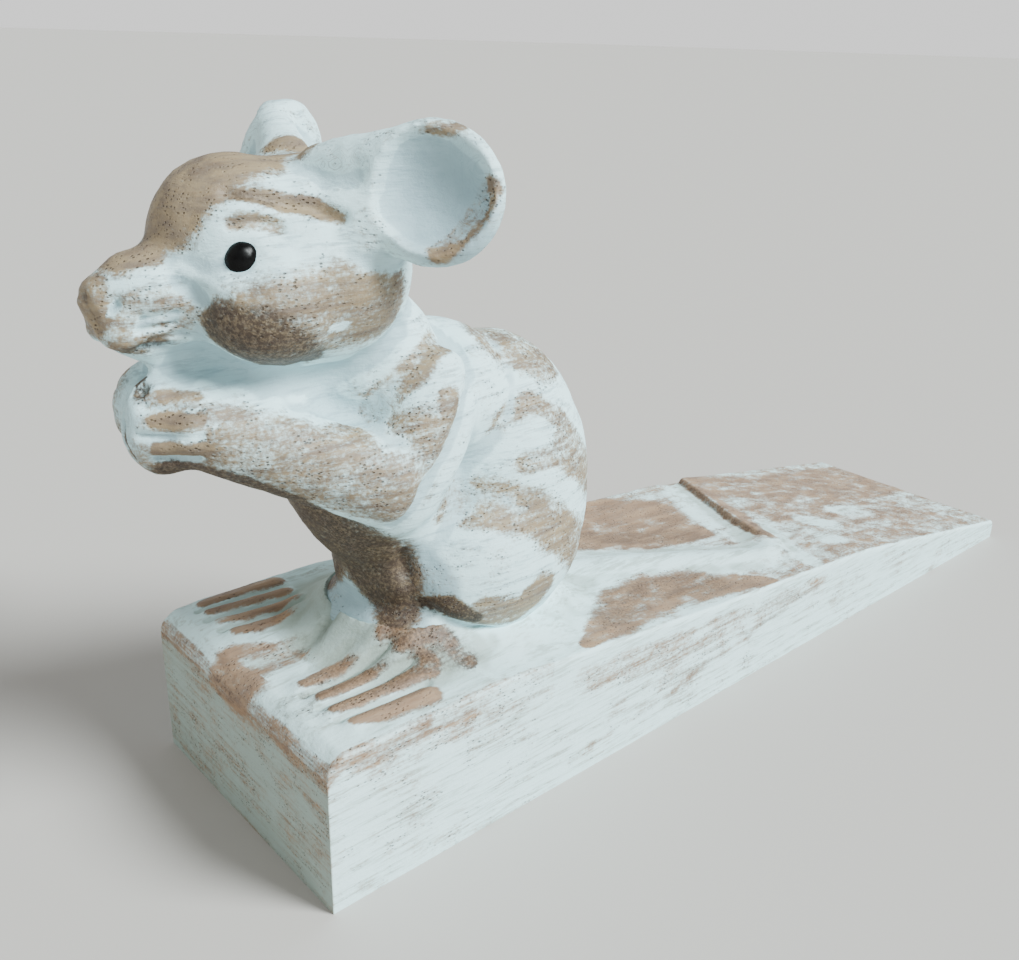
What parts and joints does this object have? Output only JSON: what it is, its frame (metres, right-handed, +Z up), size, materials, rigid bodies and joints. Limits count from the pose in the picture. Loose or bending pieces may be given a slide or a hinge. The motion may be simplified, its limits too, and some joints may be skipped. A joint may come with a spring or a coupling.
{
  "type": "door stop wedge with carved mouse",
  "caption": "Tapered wooden door wedge carved with a sitting mouse on its thick end, paws at its mouth and tail curled in relief, limewashed and sanded back.",
  "frame": {"origin": "middle of the flat underside of the wedge", "axes": "+X from the thick end towards the thin tip, the mouse looks towards -X; +Z up from the floor; -Y is the mouse's left side"},
  "size_m": [0.2252, 0.0546, 0.1122],
  "materials": {
    "wedge_wood": "limewash brushed over light brown wood and sanded back along the edges and the slope",
    "carved_wood": "limewash left in the carved hollows, sanded back to brown wood on the high spots",
    "eye_black": "glossy black"
  },
  "bodies": {
    "root": {"wedge": "wedge_wood", "tail": "wedge_wood", "foot_left": "wedge_wood", "foot_right": "wedge_wood", "torso": "carved_wood", "haunch_left": "carved_wood", "haunch_right": "carved_wood", "arm_left": "carved_wood", "arm_right": "carved_wood", "head": "carved_wood", "ear_left": "carved_wood", "ear_right": "carved_wood", "eye_left": "eye_black", "eye_right": "eye_black"}
  },
  "joints": []
}
